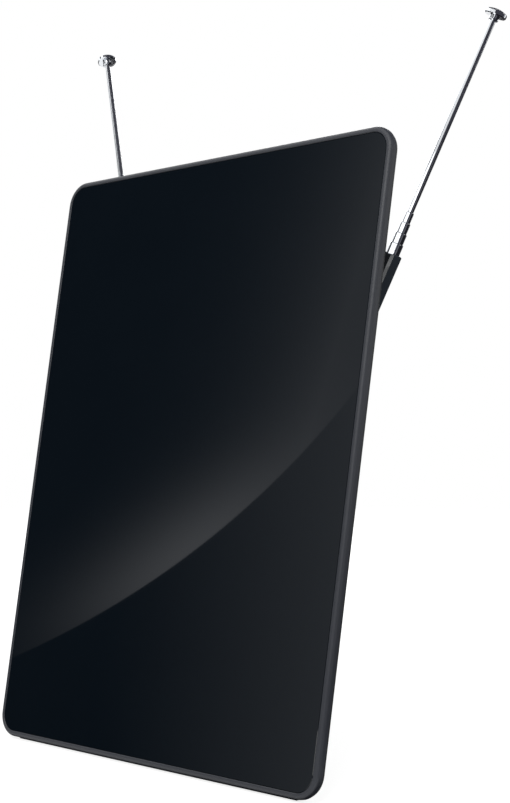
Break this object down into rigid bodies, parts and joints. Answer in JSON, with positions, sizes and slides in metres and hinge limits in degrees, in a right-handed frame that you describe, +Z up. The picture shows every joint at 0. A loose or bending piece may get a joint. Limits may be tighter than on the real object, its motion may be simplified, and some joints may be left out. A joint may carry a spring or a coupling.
{
  "type": "indoor television antenna",
  "caption": "Slim glossy panel antenna that leans back on a fold-out leg, with telescopic rods on friction swing arms and a coaxial jack behind",
  "frame": {"origin": "on the floor under the middle of the rubber foot strip", "axes": "+Z up, -Y is the way the glossy face looks, +X to the right seen from the front"},
  "size_m": [0.288, 0.1058, 0.3848],
  "materials": {
    "gloss_face": "polished black",
    "satin_shell": "satin dark grey",
    "black_housing": "fine grain black",
    "screw_steel": "zinc plated",
    "rubber": "matt",
    "brass": "plain",
    "drag_plastic": "waxy",
    "nickel": "nickel plated",
    "white_plastic": "waxy",
    "clear_film": "smooth",
    "copper": "plain",
    "board": "lacquered",
    "ferrite": "ground",
    "wire": "smooth",
    "chrome": "polished"
  },
  "bodies": {
    "panel": {"gloss_panel": "gloss_face", "front_shell": "satin_shell", "rear_cover": "black_housing", "cover_screws": "screw_steel", "foot_strip": "rubber", "hinge_pin": "screw_steel", "pivot_screws": "screw_steel", "pivot_nuts": "screw_steel", "solder_tags": "brass", "drag_washers": "drag_plastic", "spring_washers": "screw_steel", "jack_body": "nickel", "jack_insulator": "white_plastic", "jack_contact": "brass", "jack_washer": "nickel", "jack_nut": "nickel", "element_film": "clear_film", "copper_element": "copper", "element_leads": "copper", "matching_board": "board", "balun_core": "ferrite", "board_screws": "screw_steel", "feed_wires": "wire"},
    "leg": {"stand_leg": "black_housing", "leg_pad": "rubber"},
    "left_arm": {"arm_left": "black_housing", "bush_left": "brass", "base_tube_left": "chrome"},
    "left_tube_2": {"tube_2_left": "chrome"},
    "left_tube_3": {"tube_3_left": "chrome"},
    "left_tube_4": {"tube_4_left": "chrome"},
    "left_tip": {"tip_left": "chrome", "cap_left": "chrome"},
    "right_arm": {"arm_right": "black_housing", "bush_right": "brass", "base_tube_right": "chrome"},
    "right_tube_2": {"tube_2_right": "chrome"},
    "right_tube_3": {"tube_3_right": "chrome"},
    "right_tube_4": {"tube_4_right": "chrome"},
    "right_tip": {"tip_right": "chrome", "cap_right": "chrome"}
  },
  "joints": [
    {"name": "leg_fold", "type": "hinge", "parent": "panel", "child": "leg", "pos_m": [0, 0.03352, 0.09309], "axis": [1, 0, 0], "range_deg": [-22, 0]},
    {"name": "left_swing", "type": "hinge", "parent": "panel", "child": "left_arm", "pos_m": [-0.0464, 0.05133, 0.13159], "axis": [0, -0.9848, 0.1736], "range_deg": [-20.1, 69.9]},
    {"name": "left_slide_2", "type": "slide", "parent": "left_arm", "child": "left_tube_2", "axis": [-0.3437, 0.1631, 0.9248], "range_m": [0, 0.1163]},
    {"name": "left_slide_3", "type": "slide", "parent": "left_tube_2", "child": "left_tube_3", "axis": [-0.3437, 0.1631, 0.9248], "range_m": [0, 0.12145]},
    {"name": "left_slide_4", "type": "slide", "parent": "left_tube_3", "child": "left_tube_4", "axis": [-0.3437, 0.1631, 0.9248], "range_m": [0, 0.1266]},
    {"name": "left_slide_tip", "type": "slide", "parent": "left_tube_4", "child": "left_tip", "axis": [-0.3437, 0.1631, 0.9248], "range_m": [-0.1207, 0.0078]},
    {"name": "right_swing", "type": "hinge", "parent": "panel", "child": "right_arm", "pos_m": [0.0464, 0.05133, 0.13159], "axis": [0, 0.9848, -0.1736], "range_deg": [-22.3, 67.7]},
    {"name": "right_slide_2", "type": "slide", "parent": "right_arm", "child": "right_tube_2", "axis": [0.3795, 0.1607, 0.9112], "range_m": [0, 0.1163]},
    {"name": "right_slide_3", "type": "slide", "parent": "right_tube_2", "child": "right_tube_3", "axis": [0.3795, 0.1607, 0.9112], "range_m": [0, 0.12145]},
    {"name": "right_slide_4", "type": "slide", "parent": "right_tube_3", "child": "right_tube_4", "axis": [0.3795, 0.1607, 0.9112], "range_m": [0, 0.1266]},
    {"name": "right_slide_tip", "type": "slide", "parent": "right_tube_4", "child": "right_tip", "axis": [0.3795, 0.1607, 0.9112], "range_m": [-0.0921, 0.0364]}
  ]
}
